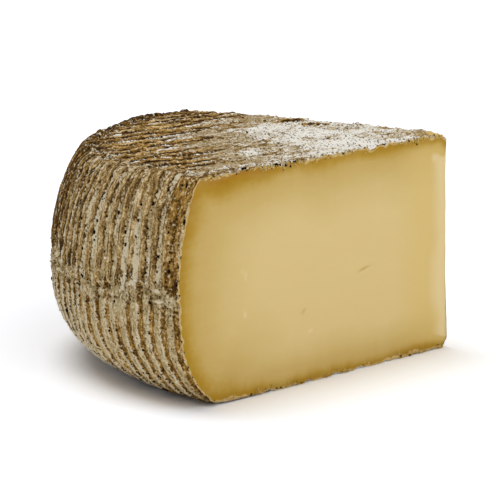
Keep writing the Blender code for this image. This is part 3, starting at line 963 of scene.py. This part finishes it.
def make_cut_face(name, plain, shown, near, material):
    """One cut face: a net inside the plain outline, whose edges follow the rind's relief.

    plain and shown are the top's, the rim's and the underside's edges in the cut, as (r, z).
    """
    top, rim, under = shown
    count = (len(top), len(rim))
    under, plain_under = spread_evenly(under, count[0]), spread_evenly(plain[2], count[0])
    tip_z = np.linspace(top[0, 1], 0, count[1])
    tip = np.stack((np.full(count[1], TIP_RADIUS), tip_z), axis=1)
    net = stretched(plain[0], plain[1], plain_under, tip)
    net[..., 0] += tip_wave(net[..., 1]) * fade(net[..., 0] - TIP_RADIUS, EDGE_FADE)
    # The relief of each edge dies away inward.
    for side, moved, line in (
        (np.s_[:, :1], top, plain[0]),
        (np.s_[-1:, :], rim, plain[1]),
        (np.s_[:, -1:], under, plain_under),
    ):
        edge = net[side]
        away = np.hypot(*(net - edge).transpose(2, 0, 1))
        net = net + (moved - line).reshape(edge.shape) * fade(away, EDGE_FADE)[..., None]
    r, z = net[..., 0], net[..., 1]
    seed = 200 if near else 300

    # How far in, for the colour: the rim's tint reaches deeper, and so does the top's near the rim
    edge = shortest(np.concatenate((top[::2], rim[::2], under[::2])), net)
    top_reach = (1.15 + 0.3 * smooth(0.105, 0.135, r)) * (1 + 0.15 * noise((r,), 0.016, seed + 20))
    low_reach = (0.85 + 0.4 * smooth(0.1, 0.14, r)) * (1 + 0.15 * noise((r,), 0.014, seed + 21))
    strip = 0.0007 + 0.0003 * noise((r,), 0.007, seed + 22) + 0.0003 * noise((r,), 0.0025, seed + 24)
    strip += 0.001 * bell(r - 0.03, 0.012)
    ledge = 0.001 + 0.0003 * noise((r,), 0.006, seed + 25) + 0.0003 * noise((r,), 0.0022, seed + 26)
    depth = np.minimum.reduce((
        np.clip(shortest(plain[0][::2], net) - 0.8 * ledge, 0, 1) / top_reach
        - 0.0008 * bell(r - 0.132, 0.02),
        np.clip(shortest(plain_under[::2], net) - strip, 0, 1) / low_reach,
        0.52 * shortest(plain[1][::2], net),
    ))
    sag = 0.00012 + 0.00012 * rough((r, z), 0.018, seed) + 0.000004 * noise((r, z), (0.012, 0.0015), seed + 7)
    fringe = CUT_EDGE_DEPTH * fade(edge, CUT_EDGE_WIDTH)
    sag = sag * smooth(0, 0.004, edge) + fringe * (0.6 + 0.4 * noise((r, z), 0.0012, seed + 9))
    slit, chalk = (near * cut_spots(r, z, places) for places in (SLITS, CHALKY))
    sag = np.clip(sag, 0, None) + SLIT_DEPTH * slit
    points = place(r, sag, z) if near else place(sag, r, z)
    specks = dots(r, z, (0.0036, 0.0036), seed + 11, 0.6, (0.0004, 0.001))
    low = z < 0.006
    rim_width = np.select((z > HEIGHT - 0.012, low), (0.8 * ledge, 0.8 * strip), 0.0008)
    rim_width += 0.0003 * noise((r, z), 0.0022, seed + 15)
    dry_line = 1 - smooth(0.8, 1.3, edge / np.clip(rim_width, 0.0001, 1))
    from_tip = r + 0.002 * noise((r, z), 0.012, seed + 17)
    layers = {
        "depth": depth,
        "rim": dry_line * (0.8 + 0.4 * noise((r, z), 0.0012, seed + 23)),
        "dark": specks * (edge < 0.0011),
        "slit": slit,
        "chalk": chalk * (0.8 + 0.4 * noise((r, z), 0.0009, 207)),
        "tip": np.clip(1 - from_tip / 0.045, 0, 1) * smooth(-0.001, 0.007, depth),
    }
    faces = net_faces(*r.shape, flip=not near)
    make_piece(name, points, faces, layers, material)


def blobs(centres, radii, seed):
    """Points and faces of one rough grain at each centre, none of them below the floor."""
    draw = np.random.RandomState(seed)
    count = len(centres)
    turns, _ = np.linalg.qr(draw.normal(size=(count, 3, 3)))
    stretch = draw.uniform(0.6, 1.3, (count, 1, 3))
    corners = GRAIN_CORNERS[None] * draw.uniform(0.7, 1.2, (count, GRAIN_POINTS, 1)) * stretch
    points = centres[:, None] + np.einsum("nij,nkj->nki", turns, corners) * radii[:, None, None]
    flip = np.linalg.det(turns) < 0
    faces = GRAIN_FACES[None] + GRAIN_POINTS * np.arange(count)[:, None, None]
    faces[flip] = faces[flip][:, :, ::-1]
    points[..., 2] = np.maximum(points[..., 2], 0)
    return points.reshape(-1, 3), faces.reshape(-1, 3)


def chosen(draw, weight, count):
    """Seeded places in an array, likelier where the weight is greater."""
    weight = np.clip(weight, 0, None).ravel()
    return draw.choice(len(weight), count, p=weight / weight.sum())


def make_rind_grains(name, points, inset, layers, counts, seed, material):
    """Dark, tan and white grains on one net of the rind; counts says how many of each."""
    draw = np.random.RandomState(seed)
    white = smooth(0.2, 0.6, layers["pale"])
    edge = bell(inset, 0.004) * layers["level"]
    weights = (0.3 + white + 1.5 * edge, 0.5 + 2.5 * edge, 0.2 + white + edge)
    centres, radii = [], []
    for count, weight, pair in zip(counts, weights, GRAIN_RADII):
        at = chosen(draw, weight, count)
        centres.append(points.reshape(-1, 3)[at])
        radii.append(between(pair, draw.uniform(size=count) ** 2))
    corners, faces = blobs(np.concatenate(centres), np.concatenate(radii), seed + 1)
    corners_each = GRAIN_POINTS * np.array(counts)
    grain_layers = {key: np.repeat([marks[key] for marks in GRAIN_MARKS], corners_each) for key in layers}
    make_piece(name, corners, faces, grain_layers, material)


def make_crumbs(name, edges, near, seed, rind, paste):
    """Crumbs of paste and rind along the top and bottom edges of one cut, and dark clots on the near one."""
    draw = np.random.RandomState(seed)
    top, under = edges[0], edges[2]
    centres, radii = [], []
    for line, count in zip((top, under), CRUMBS):
        clumps = 0.15 + smooth(-0.1, 0.5, noise((line[:, 0],), 0.006, seed + 2)) * (line[:, 0] > 0.004)
        at = chosen(draw, clumps, count)
        radius = 0.0002 + 0.00045 * draw.uniform(size=count) ** 2
        down = np.abs(draw.normal(0, 0.0008, count)) * (1 if line is top else -1)
        out = -draw.uniform(0.0, 0.00025, count)
        r, z = line[at, 0], np.clip(line[at, 1] - down, 0.0003, None)
        centres.append(place(r, out, z) if near else place(out, r, z))
        radii.append(radius)
    corners, faces = blobs(np.concatenate(centres), np.concatenate(radii), seed + 3)
    count = sum(CRUMBS)
    depth = np.repeat(draw.uniform(0.001, 0.012, count), GRAIN_POINTS)
    dark = np.repeat(draw.uniform(size=count) < 0.1, GRAIN_POINTS).astype(float)
    none = 0 * depth
    layers = {"depth": depth, "rim": none, "dark": dark, "slit": none, "chalk": none, "tip": none}
    make_piece(name, corners, faces, layers, paste)
    if near:
        three = np.array([-0.8, 0.0, 0.7])
        centres = np.concatenate([
            place(r + 1.2 * size * three, 0 * three, np.interp(r, top[:, 0], top[:, 1]) + 0.0002 + 0 * three)
            for r, size in CLOTS
        ])
        radii = np.repeat([size * 0.8 for _, size in CLOTS], 3)
        corners, faces = blobs(centres, radii, seed + 4)
        layers = {key: np.full(len(corners), value) for key, value in CLOT_MARKS.items()}
        make_piece(name + "_clots", corners, faces, layers, rind)


def make_tip(material):
    """The blunt upright edge between the cut faces."""
    turn = np.linspace(0, pi / 2, 13)
    p = TIP_RADIUS * (1 - np.sin(turn))
    q = TIP_RADIUS * (1 - np.cos(turn))
    top = HEIGHT - tip_fall(np.hypot(p, q))
    rise = np.linspace(0, 1, 120)[:, None]
    z = rise * top[None, :]
    dent = 1 + noise((z,), 0.016, 401) + 0.4 * noise((z,), 0.005, 402)
    dent = TIP_DENT * dent * np.sin(2 * turn)[None, :]
    p = p[None, :] + dent + tip_wave(z) * np.cos(turn)[None, :]
    q = q[None, :] + dent + tip_wave(z) * np.sin(turn)[None, :]
    depth = np.minimum(z, top[None, :] - z)
    layers = {key: 0 * z for key in ("rim", "dark", "slit", "chalk")}
    layers.update({"depth": depth + 0.004, "tip": 1 + 0 * z})
    make_piece("paste_tip", place(p, q, z), net_faces(*z.shape), layers, material)


# Camera, light and floor

CAMERA_AZIMUTH = radians(-3.28)
CAMERA_ELEVATION = radians(9.92)
CAMERA_ROLL = radians(-0.547)
CAMERA_DISTANCE = 1.2178
CAMERA_TARGET = Vector((0.0007, 0.0116, 0.0404))
CAMERA_LENS = 209.4

# Lights: azimuth, elevation and width in degrees, then strength
LIGHTS = {"key": (40, 35, 60, 0.78), "top": (-130, 73, 40, 1.36)}
SKY_STRENGTH = 0.38
FLOOR_REACH = 8
FLOOR_DROP = 0.0001
FLOOR_COLOUR = (1.225, 1.245, 1.295, 1)


def make_camera():
    """The photograph's viewing angle."""
    data = bpy.data.cameras.new("camera")
    data.lens = CAMERA_LENS
    data.clip_end = 50
    camera = bpy.data.objects.new("camera", data)
    bpy.context.scene.collection.objects.link(camera)
    level = cos(CAMERA_ELEVATION)
    away = Vector((sin(CAMERA_AZIMUTH) * level, -cos(CAMERA_AZIMUTH) * level, sin(CAMERA_ELEVATION)))
    camera.location = CAMERA_TARGET + CAMERA_DISTANCE * away
    camera.rotation_mode = "QUATERNION"
    camera.rotation_quaternion = away.to_track_quat("Z", "Y") @ Quaternion((0, 0, 1), CAMERA_ROLL)
    bpy.context.scene.camera = camera


def make_light(name, azimuth, elevation, spread, power):
    """A soft light from far away, as even over the floor as over the cheese."""
    data = bpy.data.lights.new(name, "SUN")
    data.angle = radians(spread)
    data.energy = power
    light = bpy.data.objects.new(name, data)
    bpy.context.scene.collection.objects.link(light)
    azimuth, elevation = radians(azimuth), radians(elevation)
    away = Vector((sin(azimuth) * cos(elevation), -cos(azimuth) * cos(elevation), sin(elevation)))
    light.rotation_euler = away.to_track_quat("Z", "Y").to_euler()


def make_studio():
    """A plain white floor under soft light, mostly from above and a little behind."""
    scene = bpy.context.scene
    scene.view_settings.view_transform = "Standard"
    world = bpy.data.worlds.new("studio")
    world.use_nodes = True
    sky = world.node_tree.nodes["Background"]
    sky.inputs["Color"].default_value = (1, 1, 1, 1)
    sky.inputs["Strength"].default_value = SKY_STRENGTH
    scene.world = world
    for name, values in LIGHTS.items():
        make_light(name, *values)
    mesh = bpy.data.meshes.new("floor")
    corners = [(FLOOR_REACH * x, FLOOR_REACH * y, 0) for x, y in ((-1, -1), (1, -1), (1, 1), (-1, 1))]
    mesh.from_pydata(corners, [], [(0, 1, 2, 3)])
    floor = bpy.data.objects.new("floor", mesh)
    floor.location.z = -FLOOR_DROP
    scene.collection.objects.link(floor)
    white = bpy.data.materials.new("floor")
    white.use_nodes = True
    shader = white.node_tree.nodes["Principled BSDF"]
    shader.inputs["Base Color"].default_value = FLOOR_COLOUR
    shader.inputs["Roughness"].default_value = 1.0
    shader.inputs["Specular IOR Level"].default_value = 0.0
    mesh.materials.append(white)


def main():
    rind = rind_material()
    paste = paste_material()
    near, far = make_rind(rind)
    make_cut_face("paste_near_cut", *near, True, paste)
    make_cut_face("paste_far_cut", *far, False, paste)
    make_crumbs("crumbs_near_cut", near[1], True, 601, rind, paste)
    make_crumbs("crumbs_far_cut", far[1], False, 611, rind, paste)
    make_tip(paste)
    make_camera()
    make_studio()


main()
